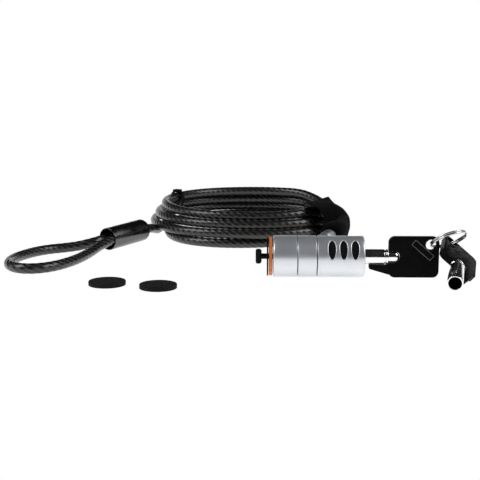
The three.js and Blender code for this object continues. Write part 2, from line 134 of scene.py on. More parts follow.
# ---------------------------------------------------------------- materials
def material(name, colour, roughness, metallic=0.0, **sockets):
    """A material with one Principled shader; the keywords name its other sockets."""
    made = bpy.data.materials.new(name)
    made.use_nodes = True
    shader = made.node_tree.nodes["Principled BSDF"]
    shader.inputs["Base Color"].default_value = (*colour, 1)
    shader.inputs["Roughness"].default_value = roughness
    shader.inputs["Metallic"].default_value = metallic
    for socket, value in sockets.items():
        shader.inputs[socket.replace("_", " ")].default_value = value
    made.diffuse_color = (*colour, 1)
    return made


class Nodes:
    """Short names for building a material's nodes."""

    def __init__(self, look):
        self.tree = look.node_tree
        self.shader = self.tree.nodes["Principled BSDF"]
        self.place = self.add("ShaderNodeTexCoord").outputs["Object"]

    def add(self, kind, **settings):
        node = self.tree.nodes.new(kind)
        for key, value in settings.items():
            setattr(node, key, value)
        return node

    def link(self, output, target):
        self.tree.links.new(output, target)

    def noise(self, scale, detail=3.0, place=None, roughness=0.5):
        node = self.add("ShaderNodeTexNoise")
        node.inputs["Scale"].default_value = scale
        node.inputs["Detail"].default_value = detail
        node.inputs["Roughness"].default_value = roughness
        self.link(place or self.place, node.inputs["Vector"])
        return node.outputs["Fac"]

    def attribute(self, name):
        return self.add("ShaderNodeAttribute", attribute_name=name).outputs["Fac"]

    def ramp(self, value, stops):
        """A colour ramp with stops given as (position, grey or colour)."""
        node = self.add("ShaderNodeValToRGB")
        elements = node.color_ramp.elements
        while len(elements) < len(stops):
            elements.new(0.5)
        for element, (position, colour) in zip(elements, stops):
            element.position = position
            element.color = (*colour, 1) if hasattr(colour, "__len__") else (colour, colour, colour, 1)
        self.link(value, node.inputs["Fac"])
        return node.outputs["Color"]

    def span(self, value, low, high, start=0.0, end=1.0):
        """The value mapped from start..end to low..high."""
        node = self.add("ShaderNodeMapRange")
        node.inputs["From Min"].default_value = start
        node.inputs["From Max"].default_value = end
        node.inputs["To Min"].default_value = low
        node.inputs["To Max"].default_value = high
        self.link(value, node.inputs["Value"])
        return node.outputs["Result"]

    def maths(self, operation, first, second=None):
        node = self.add("ShaderNodeMath", operation=operation)
        for socket, value in zip(node.inputs, (first, second)):
            if value is None:
                continue
            if isinstance(value, (int, float)):
                socket.default_value = value
            else:
                self.link(value, socket)
        return node.outputs["Value"]

    def bump(self, height, distance, strength=1.0):
        node = self.add("ShaderNodeBump")
        node.inputs["Distance"].default_value = distance * MM
        node.inputs["Strength"].default_value = strength
        self.link(height, node.inputs["Height"])
        self.link(node.outputs["Normal"], self.shader.inputs["Normal"])

    def into(self, output, socket):
        self.link(output, self.shader.inputs[socket])


def grained(look, grain, depth, rough, cloud=120.0, tint=None):
    """Adds fine grain, roughness clouded between rough's two values and, with tint, a clouded colour."""
    nodes = Nodes(look)
    clouds = nodes.noise(cloud, 4)
    nodes.into(nodes.span(clouds, rough[0], rough[1], 0.3, 0.7), "Roughness")
    nodes.bump(nodes.noise(grain, 2), depth, 0.5)
    if tint:
        nodes.into(nodes.ramp(clouds, ((0.35, tint[0]), (0.65, tint[1]))), "Base Color")
    return nodes


def satin_silver():
    look = material("satin_silver", (0.54, 0.555, 0.58), 0.34, 0.72, Specular_IOR_Level=0.3)
    grained(look, 5200, 0.012, (0.31, 0.38), 90, ((0.52, 0.535, 0.56), (0.565, 0.575, 0.595)))
    return look


def copper_rubber():
    look = material("copper_rubber", (0.5, 0.135, 0.034), 0.55, Specular_IOR_Level=0.35)
    grained(look, 2600, 0.02, (0.48, 0.62), 400, ((0.45, 0.118, 0.028), (0.55, 0.155, 0.04)))
    return look


def dark(name, rough, grain, depth, level=0.004, metallic=0.0, specular=0.05, **sockets):
    look = material(name, (level, level, level * 1.08), rough, metallic, **sockets)
    look.node_tree.nodes["Principled BSDF"].inputs["Specular IOR Level"].default_value = specular
    soft = (level * 0.7, level * 0.7, level * 0.75)
    pale = (level * 1.4, level * 1.4, level * 1.5)
    grained(look, grain, depth, (rough - 0.06, rough + 0.08), 160, (soft, pale))
    return look


def chrome():
    look = material("chrome", (0.68, 0.67, 0.655), 0.17, 1.0)
    nodes = grained(look, 3000, 0.0015, (0.14, 0.2), 260)
    smudges = nodes.noise(60, 5)
    nodes.into(nodes.ramp(smudges, ((0.3, (0.63, 0.62, 0.605)), (0.6, (0.71, 0.7, 0.685)))), "Base Color")
    return look


def plated(name, colour, rough):
    look = material(name, colour, rough, 1.0)
    worn = tuple(0.82 * value for value in colour)
    grained(look, 3400, 0.008, (rough - 0.07, rough + 0.1), 220, (worn, colour))
    return look


def smoke_vinyl():
    """Clear smoke vinyl over twisted steel strands: dull strands under a glossy coat, with painted shade
    darkening the valleys between the strands.
    """
    look = material("cable_jacket", (0.01, 0.01, 0.01), 0.42, 0.45, Coat_Weight=0.4, Coat_Roughness=0.16)
    nodes = Nodes(look)
    strand = nodes.attribute("strand")
    joined = nodes.add("ShaderNodeCombineXYZ")
    nodes.link(nodes.attribute("around"), joined.inputs["X"])
    nodes.link(nodes.attribute("along"), joined.inputs["Y"])
    streaks = nodes.noise(9.0, 3, joined.outputs["Vector"])
    crown = nodes.maths("MULTIPLY", strand, nodes.span(streaks, 0.55, 1.25, 0.3, 0.7))
    # The ramp runs from painted shade in the valleys between strands up to the strands' own steel tone on
    # their crowns.
    stops = (
        (0.12, (0.001, 0.001, 0.001)),
        (0.5, (0.005, 0.0047, 0.0042)),
        (0.95, (0.034, 0.032, 0.028)),
    )
    nodes.into(nodes.ramp(crown, stops), "Base Color")
    nodes.into(nodes.span(streaks, 0.36, 0.5, 0.3, 0.7), "Roughness")
    nodes.bump(strand, 0.16, 1.0)
    return look


def strap_fabric():
    """Brushed hook-and-loop: fuzzy and black, with a faint row pattern."""
    look = material("strap_fabric", (0.002, 0.002, 0.002), 0.95, Sheen_Weight=0.02, Sheen_Roughness=0.6)
    look.node_tree.nodes["Principled BSDF"].inputs["Specular IOR Level"].default_value = 0.02
    nodes = Nodes(look)
    fuzz = nodes.noise(1500, 4)
    clumps = nodes.noise(260, 3)
    pile = nodes.maths("ADD", fuzz, nodes.maths("MULTIPLY", clumps, 1.5))
    blacks = ((0.35, (0.001, 0.001, 0.0011)), (0.7, (0.003, 0.003, 0.0033)))
    nodes.into(nodes.ramp(clumps, blacks), "Base Color")
    nodes.bump(pile, 0.5, 0.8)
    return look


def pad_rubber():
    """Foamed rubber: fine pores and faint mottling."""
    look = material("pad_rubber", (0.01, 0.01, 0.011), 0.85, Specular_IOR_Level=0.12)
    nodes = Nodes(look)
    pores = nodes.add("ShaderNodeTexVoronoi")
    pores.inputs["Scale"].default_value = 2600
    nodes.link(nodes.place, pores.inputs["Vector"])
    mottle = nodes.noise(420, 4)
    nodes.into(nodes.ramp(mottle, ((0.3, (0.004, 0.004, 0.0044)), (0.7, (0.01, 0.01, 0.011)))), "Base Color")
    nodes.into(nodes.span(mottle, 0.78, 0.92, 0.3, 0.7), "Roughness")
    nodes.bump(nodes.maths("ADD", pores.outputs["Distance"], mottle), 0.12, 0.7)
    return look


LOOKS = {
    "satin_silver": satin_silver(),
    "copper_rubber": copper_rubber(),
    "nose_plastic": dark("nose_plastic", 0.35, 2400, 0.01),
    # The key plates' rims: paler and more specular than the bow, a painted highlight.
    "painted_sheen_plastic": dark("painted_sheen_plastic", 0.5, 1800, 0.03, 0.08, specular=0.3),
    "ring_steel": plated("ring_steel", (0.5, 0.5, 0.5), 0.24),
    "dark_metal": dark("dark_metal", 0.32, 3200, 0.01, 0.005, 0.1),
    "grip_rubber": dark("grip_rubber", 0.45, 2600, 0.02),
    "chrome": chrome(),
    "key_plastic": dark("key_plastic", 0.42, 2800, 0.015, 0.0025, specular=0.03),
    "cable_jacket": smoke_vinyl(),
    "sleeve_vinyl": dark("sleeve_vinyl", 0.2, 320, 0.01, 0.002, specular=1.0),
    "strap_fabric": strap_fabric(),
    "tie_plastic": dark("tie_plastic", 0.5, 2200, 0.03),
    "pad_rubber": pad_rubber(),
    "brass": plated("brass", (0.72, 0.53, 0.24), 0.3),
    "steel": plated("steel", (0.56, 0.56, 0.57), 0.32),
    "zinc": plated("zinc", (0.4, 0.4, 0.395), 0.45),
}


# ---------------------------------------------------------------- mesh helpers
def filleted(corners, radius, steps=4):
    """A closed outline with its corners rounded; a corner on the axis stays sharp."""
    outline = []
    for i, corner in enumerate(corners):
        here = Vector(corner[:2])
        reach = corner[2] if len(corner) > 2 else radius
        before = Vector(corners[i - 1][:2]) - here
        after = Vector(corners[(i + 1) % len(corners)][:2]) - here
        reach = min(reach, 0.49 * before.length, 0.49 * after.length)
        if reach <= 0 or here.y == 0:
            outline.append(here)
            continue
        start = here + before.normalized() * reach
        end = here + after.normalized() * reach
        for step in range(steps + 1):
            t = step / steps
            outline.append(start * (1 - t) ** 2 + here * 2 * t * (1 - t) + end * t * t)
    return outline


def lathe(outline, segments=96):
    """A closed outline of (station, radius) turned about the X axis."""
    count = len(outline)
    verts = [
        (x, r * math.cos(TAU * i / segments), r * math.sin(TAU * i / segments))
        for i in range(segments)
        for x, r in outline
    ]
    faces = [
        (i * count + k, i * count + (k + 1) % count, j * count + (k + 1) % count, j * count + k)
        for i in range(segments)
        for j in [(i + 1) % segments]
        for k in range(count)
    ]
    return verts, faces


def shifted(part, matrix):
    verts, faces = part
    return [matrix @ Vector(v) for v in verts], faces


def slab(outlines, thickness, bevel, resolution=3):
    """Flat outlines in the XY plane, the later ones holes, as one bevelled plate about z = 0."""
    curve = bpy.data.curves.new("outline", "CURVE")
    curve.dimensions = "2D"
    curve.fill_mode = "BOTH"
    curve.extrude = thickness / 2 - bevel
    curve.bevel_depth = bevel
    curve.bevel_resolution = resolution
    curve.offset = -bevel
    for outline in outlines:
        spline = curve.splines.new("POLY")
        spline.points.add(len(outline) - 1)
        spline.use_cyclic_u = True
        for point, place in zip(spline.points, outline):
            point.co = (place[0], place[1], 0, 1)
    holder = bpy.data.objects.new("outline", curve)
    mesh = bpy.data.meshes.new_from_object(holder)
    verts = [tuple(v.co) for v in mesh.vertices]
    faces = [tuple(p.vertices) for p in mesh.polygons]
    bpy.data.objects.remove(holder)
    bpy.data.curves.remove(curve)
    bpy.data.meshes.remove(mesh)
    return verts, faces


def piece(name, parts, matrix, slot, body, replaces=(), sharp=38, values=None):
    """One object from parts of (vertices, faces), given in mm in the frame that matrix stands for."""
    verts, faces = [], []
    for part_verts, part_faces in parts:
        base = len(verts)
        verts += [matrix @ Vector(v) for v in part_verts]
        faces += [tuple(base + i for i in face) for face in part_faces]
    mesh = bpy.data.meshes.new(name)
    mesh.from_pydata(verts, [], faces)
    for attribute, numbers in (values or {}).items():
        mesh.attributes.new(attribute, "FLOAT", "POINT").data.foreach_set("value", numbers)
    shell = bmesh.new()
    shell.from_mesh(mesh)
    bmesh.ops.remove_doubles(shell, verts=shell.verts, dist=2e-7)
    bmesh.ops.dissolve_degenerate(shell, edges=shell.edges, dist=1e-8)
    bmesh.ops.recalc_face_normals(shell, faces=shell.faces)
    shell.to_mesh(mesh)
    shell.free()
    mesh.shade_smooth()
    mesh.set_sharp_from_angle(angle=math.radians(sharp))
    mesh.materials.append(LOOKS[slot])
    made = bpy.data.objects.new(name, mesh)
    bpy.context.collection.objects.link(made)
    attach(made, body)
    if replaces:
        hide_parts(*replaces)
    return made


def arc(centre, radius, start, end, steps):
    return [
        (centre[0] + radius * math.cos(a), centre[1] + radius * math.sin(a))
        for a in (start + (end - start) * i / steps for i in range(steps + 1))
    ]


def smooth_path(points, step):
    """A centripetal Catmull-Rom curve through points, sampled evenly about every step mm."""
    points = [Vector(p) for p in points]
    points = [2 * points[0] - points[1], *points, 2 * points[-1] - points[-2]]
    dense = []
    for i in range(1, len(points) - 2):
        p0, p1, p2, p3 = points[i - 1 : i + 3]
        t1 = (p1 - p0).length ** 0.5
        t2 = t1 + (p2 - p1).length ** 0.5
        t3 = t2 + (p3 - p2).length ** 0.5
        for k in range(16):
            t = t1 + (t2 - t1) * k / 16
            a1 = p0 * ((t1 - t) / t1) + p1 * (t / t1)
            a2 = p1 * ((t2 - t) / (t2 - t1)) + p2 * ((t - t1) / (t2 - t1))
            a3 = p2 * ((t3 - t) / (t3 - t2)) + p3 * ((t - t2) / (t3 - t2))
            b1 = a1 * ((t2 - t) / t2) + a2 * (t / t2)
            b2 = a2 * ((t3 - t) / (t3 - t1)) + a3 * ((t - t1) / (t3 - t1))
            dense.append(b1 * ((t2 - t) / (t2 - t1)) + b2 * ((t - t1) / (t2 - t1)))
    dense.append(points[-2])
    return evenly(dense, step)


def evenly(points, step):
    """The same line with its points about step apart."""
    lengths = [0.0]
    for a, b in zip(points, points[1:]):
        lengths.append(lengths[-1] + (b - a).length)
    count = max(2, round(lengths[-1] / step))
    out, k = [], 0
    for i in range(count + 1):
        goal = lengths[-1] * i / count
        while k < len(points) - 2 and lengths[k + 1] < goal:
            k += 1
        share = (goal - lengths[k]) / max(lengths[k + 1] - lengths[k], 1e-9)
        out.append(points[k].lerp(points[k + 1], min(1.0, share)))
    return out


def sweep(path, section, twist=0.0):
    """A closed tube along path: section(k) gives the (across, up) points of ring k, twist its turn per mm."""
    verts, faces, travelled = [], [], 0.0
    up = Vector((0, 0, 1))
    for k, point in enumerate(path):
        ahead = path[min(k + 1, len(path) - 1)] - path[max(k - 1, 0)]
        ahead.normalize()
        up = (up - ahead * up.dot(ahead)).normalized()
        side = ahead.cross(up)
        if k:
            travelled += (point - path[k - 1]).length
        turn = Matrix.Rotation(twist * travelled, 2)
        ring = [turn @ Vector(place) for place in section(k)]
        verts += [point + side * place.x + up * place.y for place in ring]
    sides = len(ring)
    for k in range(len(path) - 1):
        for j in range(sides):
            n = (j + 1) % sides
            faces.append((k * sides + j, k * sides + n, (k + 1) * sides + n, (k + 1) * sides + j))
    faces.append(tuple(range(sides)))
    faces.append(tuple(range((len(path) - 1) * sides, len(path) * sides)))
    return verts, faces


def circle(radius, sides):
    return [(radius * math.cos(TAU * j / sides), radius * math.sin(TAU * j / sides)) for j in range(sides)]


# ---------------------------------------------------------------- camera, floor and light
CAMERA_LENS = 72.8
CAMERA_PLACE = Vector((-2.26, -460.1, 101))
CAMERA_PITCH = math.radians(10.24)
CAMERA_YAW = math.radians(1.33)
SOFTBOX_SIZE = (0.6, 0.7)
SOFTBOX_POWER = 9.5


def add_camera():
    """At the photograph's place: just above the table, looking slightly down and to the left."""
    data = bpy.data.cameras.new("camera")
    data.sensor_width = 36
    data.lens = CAMERA_LENS
    camera = bpy.data.objects.new("camera", data)
    camera.location = TABLE @ CAMERA_PLACE
    camera.rotation_euler = (math.pi / 2 - CAMERA_PITCH, 0, CAMERA_YAW)
    bpy.context.collection.objects.link(camera)
    bpy.context.scene.camera = camera


def add_floor():
    """A sheet that curves up behind: it lights the lock from below, and the camera sees it as white."""
    half, front, back, rise, radius = 1.6, -0.9, 1.9, 0.45, 0.4
    rows = [(front, 0.0), (back - radius, 0.0)]
    rows += [
        (back - radius + radius * math.sin(a), radius - radius * math.cos(a))
        for a in (math.pi / 2 * i / 12 for i in range(1, 13))
    ]
    rows.append((back, rise))
    verts = [(x, y, z) for y, z in rows for x in (-half, half)]
    faces = [(2 * i, 2 * i + 1, 2 * i + 3, 2 * i + 2) for i in range(len(rows) - 1)]
    mesh = bpy.data.meshes.new("floor")
    mesh.from_pydata(verts, [], faces)
    mesh.shade_smooth()
    look = material("floor", (0.8, 0.8, 0.8), 0.8, Emission_Color=(1, 0.99, 0.98, 1), Emission_Strength=0.85)
    nodes = Nodes(look)
    white = nodes.add("ShaderNodeEmission")
    white.inputs["Color"].default_value = (1, 1, 1, 1)
    mix = nodes.add("ShaderNodeMixShader")
    nodes.link(nodes.add("ShaderNodeLightPath").outputs["Is Camera Ray"], mix.inputs["Fac"])
    nodes.link(nodes.shader.outputs["BSDF"], mix.inputs[1])
    nodes.link(white.outputs["Emission"], mix.inputs[2])
    nodes.link(mix.outputs["Shader"], nodes.tree.nodes["Material Output"].inputs["Surface"])
    mesh.materials.append(look)
    floor = bpy.data.objects.new("floor", mesh)
    bpy.context.collection.objects.link(floor)


def softbox(name, place, target, colour):
    data = bpy.data.lights.new(name, "AREA")
    data.shape = "RECTANGLE"
    data.size, data.size_y = SOFTBOX_SIZE
    data.energy = SOFTBOX_POWER
    data.color = colour
    lamp = bpy.data.objects.new(name, data)
    lamp.location = place
    lamp.rotation_euler = (Vector(target) - Vector(place)).to_track_quat("-Z", "Y").to_euler()
    bpy.context.collection.objects.link(lamp)


def add_light():
    """Two side softboxes in a dark room, which the camera sees as white."""
    world = bpy.data.worlds.new("studio")
    world.use_nodes = True
    bpy.context.scene.world = world
    tree = world.node_tree
    room = tree.nodes["Background"]
    room.inputs["Color"].default_value = (0.014, 0.015, 0.018, 1)
    white = tree.nodes.new("ShaderNodeBackground")
    white.inputs["Color"].default_value = (1, 1, 1, 1)
    seen = tree.nodes.new("ShaderNodeLightPath")
    mix = tree.nodes.new("ShaderNodeMixShader")
    tree.links.new(seen.outputs["Is Camera Ray"], mix.inputs["Fac"])
    tree.links.new(room.outputs["Background"], mix.inputs[1])
    tree.links.new(white.outputs["Background"], mix.inputs[2])
    tree.links.new(mix.outputs["Shader"], tree.nodes["World Output"].inputs["Surface"])
    softbox("left_box", (-0.85, -0.2, 0.75), (-0.03, 0.05, 0), (0.94, 0.97, 1))
    softbox("right_box", (0.85, -0.1, 0.75), (0.0, 0.05, 0), (0.98, 0.985, 1))
    bpy.context.scene.view_settings.view_transform = "Standard"


# ---------------------------------------------------------------- cable
def route(*points):
    return [Vector(p) for p in points]


LEAD_POINTS = route(
    (33.2, 38.9, 13.4), (36.4, 46.6, 14), (38.7, 55.6, 13.6), (40.3, 64.5, 12.9), (41.6, 74, 12.4),
    (42.6, 84, 12.3), (43.3, 94, 12.6), (43.6, 104, 13), (43.8, 112.5, 13), (43.9, 120, 12.5),
)
TAIL_POINTS = route(
    (-65.2, 125, 2.7), (-65.5, 117, 3.3), (-65.9, 109, 4.7), (-66.3, 103.6, 5.8),
    (-67, 98.8, 6.8), (-68, 94.2, 7.5),
)
LOOP_POINTS = route(
    (-93.2, 61.6, 5.6), (-97.6, 59.4, 4.7), (-103, 58.6, 3.6), (-110, 57.4, 2.8), (-116.8, 53.8, 2.66),
    (-122.4, 47.6, 2.66), (-126.4, 40, 2.66), (-129.2, 31.6, 2.66), (-130.3, 23, 2.66), (-129.2, 14.6, 2.66),
    (-125.6, 7.6, 2.66), (-120.2, 3.6, 2.66), (-114.4, 3.2, 2.66), (-108.8, 6, 2.66), (-104.2, 11.2, 2.66),
    (-100.2, 19, 2.66), (-96.6, 29, 2.8), (-93.2, 41.6, 3.4), (-90, 52.8, 4.7),
)
# Each level of the coil, from the top turn down: the cable centre's radius and height where the turns
# lie loose, how far they bulge at the left, and radius and height where they are drawn in at the right.
COIL_LEVELS = (
    (51, 18.6, 3, 50.5, 12),
    (54.7, 12.9, 3.2, 46.9, 7.6),
    (56.7, 8, 4.2, 52, 7.2),
    (52.4, 2.65, 0.4, 49.1, 2.65),
    (57.8, 2.65, 0.4, 54.3, 2.65),
)
# Where the cable changes level: (first angle, last angle) in degrees for its radius and its height.
LEVEL_CHANGES = (
    ((345, 375), (322, 352)),
    ((670, 700), (682, 714)),
    ((1024, 1054), (1038, 1070)),
    ((1374, 1410), (1374, 1410)),
)
TOP_SAG = 1.4
LOW_TURN_BOW = 6.4                   # how far the lowest turn strays outwards at its near left
COIL_START = -3
COIL_FINISH = 1620


def eased(share):
    share = max(0.0, min(1.0, share))
    return share * share * (3 - 2 * share)


def coil_point(angle):
    """The cable's centre after this many degrees round the coil, from the lead at its right."""
    radius, height, bulge, tight_radius, tight_height = COIL_LEVELS[0]
    for change, before, after in zip(LEVEL_CHANGES, COIL_LEVELS, COIL_LEVELS[1:]):
        across = eased((angle - change[0][0]) / (change[0][1] - change[0][0]))
        down = eased((angle - change[1][0]) / (change[1][1] - change[1][0]))
        radius += (after[0] - before[0]) * across
        tight_radius += (after[3] - before[3]) * across
        bulge += (after[2] - before[2]) * across
        height += (after[1] - before[1]) * down
        tight_height += (after[4] - before[4]) * down
    turn = math.radians(angle)
    bearing = (angle + 180) % 360 - 180
    # Between bearings of about -62 and 60 degrees, at the right, the turns are drawn in.
    tight = eased((bearing + 62) / 50) * eased((60 - bearing) / 45)
    radius += bulge * eased(-math.cos(turn)) * (angle < COIL_FINISH - 180)
    radius += LOW_TURN_BOW * eased((angle - 1268) / 45) * eased((1375 - angle) / 60)
    height -= TOP_SAG * eased(-math.sin(turn)) * eased((340 - angle) / 60)
    radius += (tight_radius - radius) * tight
    height += (tight_height - height) * tight
    return COIL_CENTRE + Vector((radius * math.cos(turn), radius * math.sin(turn), height))


def sleeve_axes():
    along = (SLEEVE_END - SLEEVE_START).normalized()
    return along, Vector((along.y, -along.x, 0)).normalized()


def in_sleeve(distance, offset):
    along, across = sleeve_axes()
    return SLEEVE_START + along * distance + across * offset


def cable_route():
    """From the terminal over the coil to the sleeve, round the eye loop and back into the sleeve."""
    coil = [coil_point(a) for a in range(COIL_START, COIL_FINISH + 1, 9)]
    inside = [in_sleeve(SLEEVE_LENGTH, 0), in_sleeve(CRIMP_END, 0), in_sleeve(17.5, -1.4)]
    away = [in_sleeve(CRIMP_START, -STRAND_OFFSET), in_sleeve(2, -STRAND_OFFSET)]
    back = [in_sleeve(2, STRAND_OFFSET), in_sleeve(CRIMP_START, STRAND_OFFSET)]
    start = LEAD_POINTS[0] + (LEAD_POINTS[0] - LEAD_POINTS[1]).normalized() * 4
    return [start, *LEAD_POINTS, *coil, *TAIL_POINTS, *inside, *away, *LOOP_POINTS, *back]


def add_cable():
    """One swept tube whose columns follow the strands' twist, with the strands showing as faint lobes."""
    strands, columns, lay, relief = 6, 5, 23.0, 0.08
    sides = strands * columns
    path = smooth_path(cable_route(), 1.0)
    phase = [0.5 + 0.5 * math.cos(TAU * (j % columns) / columns) for j in range(sides)]
    ring = [
        ((CABLE_R - relief * (1 - phase[j])) * math.cos(TAU * j / sides),
         (CABLE_R - relief * (1 - phase[j])) * math.sin(TAU * j / sides))
        for j in range(sides)
    ]
    tube = sweep(path, lambda k: ring, -TAU / lay)
    # strand is 1 on a strand's crown and 0 in the valley between strands; the jacket paints shade into the
    # valleys from it.
    values = {
        "strand": phase * len(path),
        "around": [j / columns for j in range(sides)] * len(path),
        "along": [k * 0.05 for k in range(len(path)) for _ in range(sides)],
    }
    nodes = ("cable_lead", "cable_loop", "cable_coil", "cable_tail")
    cable = piece("cable", [tube], TABLE, "cable_jacket", "root", nodes, sharp=80, values=values)
    return cable, path


def add_sleeve():
    along, across = sleeve_axes()
    turn = Matrix((along, across, along.cross(across))).transposed().to_4x4()
    place = TABLE @ Matrix.Translation(SLEEVE_START) @ turn
    hood, neck = 5.75, CABLE_R + 0.15
    outline = filleted(
        [
            (0, hood, 0.15), (0, SLEEVE_R, 0.25), (SLEEVE_LENGTH - 1.8, SLEEVE_R, 2.6),
            (SLEEVE_LENGTH, neck + 0.9, 0.5), (SLEEVE_LENGTH, neck, 0.2),
            (CRIMP_END + 0.6, neck, 0.2), (CRIMP_END + 0.6, CRIMP_R + 0.3, 0.3),
            (CRIMP_START, CRIMP_R + 0.3, 0.3), (CRIMP_START - 0.5, hood, 0.3),
        ],
        0.3, 5,
    )
    sleeve = piece(
        "ferrule_sleeve_skin", [lathe(outline, 96)], place, "sleeve_vinyl", "root", ["ferrule_sleeve"]
    )
    crimp = [(CRIMP_START, 0), (CRIMP_START, CRIMP_R)]
    for station in (13, 17.5, 22):
        crimp += [(station - 1, CRIMP_R), (station - 0.4, CRIMP_R - 0.5), (station + 0.4, CRIMP_R - 0.5)]
        crimp += [(station + 1, CRIMP_R)]
    crimp += [(CRIMP_END, CRIMP_R), (CRIMP_END, 0)]
    ferrule = piece(
        "crimp_barrel", [lathe(filleted(crimp, 0.4), 64)], place, "zinc", "root", ["crimp_ferrule"]
    )
    return sleeve, ferrule


# ---------------------------------------------------------------- strap and tie
# The strap's line round the bundle: its radius and height about the coil's axis, and how far its
# far edge droops below its middle.
STRAP_LINE = (
    (54, 21, 2.4), (51, 21.2, 2), (48.4, 19.9, 1), (47, 16.5, 0), (46.6, 11, 0), (47, 5.5, 0),
    (48.6, 1.8, 0), (52, 0.75, 0), (57, 0.75, 0), (60.6, 1.8, 0), (62.3, 6, 0.4), (63, 12, 1.4),
    (62, 17.5, 3), (59.4, 21.2, 3.8), (55.8, 22.8, 3.6), (52, 23.5, 2.2), (48.2, 23.6, -1.2),
)
STRAP_WIDTH = 25
STRAP_THICKNESS = 0.9
STRAP_ANGLE = -41
STRAP_DRIFT = 1.45                   # how far the free end lies off to its near side
TIE_ANGLE = 157
TIE_WIDTH = 3.4
TIE_THICKNESS = 1
FOLD_SPAN = (39.6, 96)               # where the strap's sewn fold holds the lead, out from the lock's axis


def band(centres, across, outward, width, thickness, columns=12, wave=0.0):
    """A closed band from its middle line: across and outward give each point's directions."""
    verts, faces = [], []
    rows = len(centres)
    for k, (centre, side, out) in enumerate(zip(centres, across, outward)):
        for face in (1, -1):
            for j in range(columns + 1):
                share = 2 * j / columns - 1
                rounded = math.sqrt(max(0.0, 1 - abs(share) ** 8))
                ripple = wave * math.sin(5.1 * share + 0.55 * k) * math.cos(0.31 * k + 1.7 * share)
                verts.append(
                    centre + side * (share * width / 2) + out * (face * thickness / 2 * rounded + ripple)
                )
    per_row, half = 2 * (columns + 1), columns + 1
    for k in range(rows - 1):
        for j in range(columns):
            a, c = k * per_row + j, (k + 1) * per_row + j
            faces.append((a, a + 1, c + 1, c))
            faces.append((a + half, c + half, c + half + 1, a + half + 1))
    for k in (0, rows - 1):
        for j in range(columns):
            a = k * per_row + j
            faces.append((a, a + half, a + half + 1, a + 1))
    return verts, faces


def add_strap():
    """A hook-and-loop strap round the turns, its free end on top, and its sewn fold round the lead."""
    line = smooth_path(STRAP_LINE, 1.0)
    turn = math.radians(STRAP_ANGLE)
    out = Vector((math.cos(turn), math.sin(turn), 0))
    side = Vector((-out.y, out.x, 0))
    centres, outward = [], []
    for k, place in enumerate(line):
        ahead = line[min(k + 1, len(line) - 1)] - line[max(k - 1, 0)]
        length = math.hypot(ahead.x, ahead.y)
        centres.append(COIL_CENTRE + out * place.x + Vector((0, 0, place.y)))
        outward.append((out * ahead.y - Vector((0, 0, ahead.x))) / length)
    verts, faces = band(centres, [side] * len(line), outward, STRAP_WIDTH, STRAP_THICKNESS, 16, 0.12)
    per_row = len(verts) // len(line)
    for i, vert in enumerate(verts):
        droop = line[i // per_row].z
        share = (vert - COIL_CENTRE).dot(side) / (STRAP_WIDTH / 2)
        bend = share * abs(share) if droop < 0 else max(share, 0.0) ** 2
        drift = STRAP_DRIFT * eased(4 * (i // per_row) / len(line) - 3)
        verts[i] = vert - Vector((0, 0, droop * bend)) - side * drift
    strap = piece("strap_band", [(verts, faces)], TABLE, "strap_fabric", "root", ["strap"], sharp=60)

    path = [p for p in cable_path[:120] if FOLD_SPAN[0] < p.y < FOLD_SPAN[1]]
    sides = 40
    verts, faces = [], []
    for point in path:
        mouth = eased((point.y - FOLD_SPAN[0] + 1.5) / 4)
        outer = CABLE_R + 0.8 + mouth * (0.4 + 2.3 * eased((66 - point.y) / 20))
        for radius in (CABLE_R + 0.12, outer):
            for j in range(sides):
                a = TAU * j / sides
                ripple = 0.12 * math.sin(3 * a + 0.11 * point.y) * (radius > CABLE_R + 0.5)
                reach = radius + ripple
                verts.append(point + Vector((reach * math.cos(a), 0, reach * math.sin(a))))
    for k in range(len(path) - 1):
        for j in range(sides):
            n = (j + 1) % sides
            for layer in (0, sides):
                a, c = 2 * sides * k + layer, 2 * sides * (k + 1) + layer
                faces.append((a + j, a + n, c + n, c + j))
    for k in (0, len(path) - 1):
        for j in range(sides):
            n = (j + 1) % sides
            a = 2 * sides * k
            faces.append((a + j, a + n, a + n + sides, a + j + sides))
    fold = piece("strap_fold", [(verts, faces)], TABLE, "strap_fabric", "root", sharp=60)


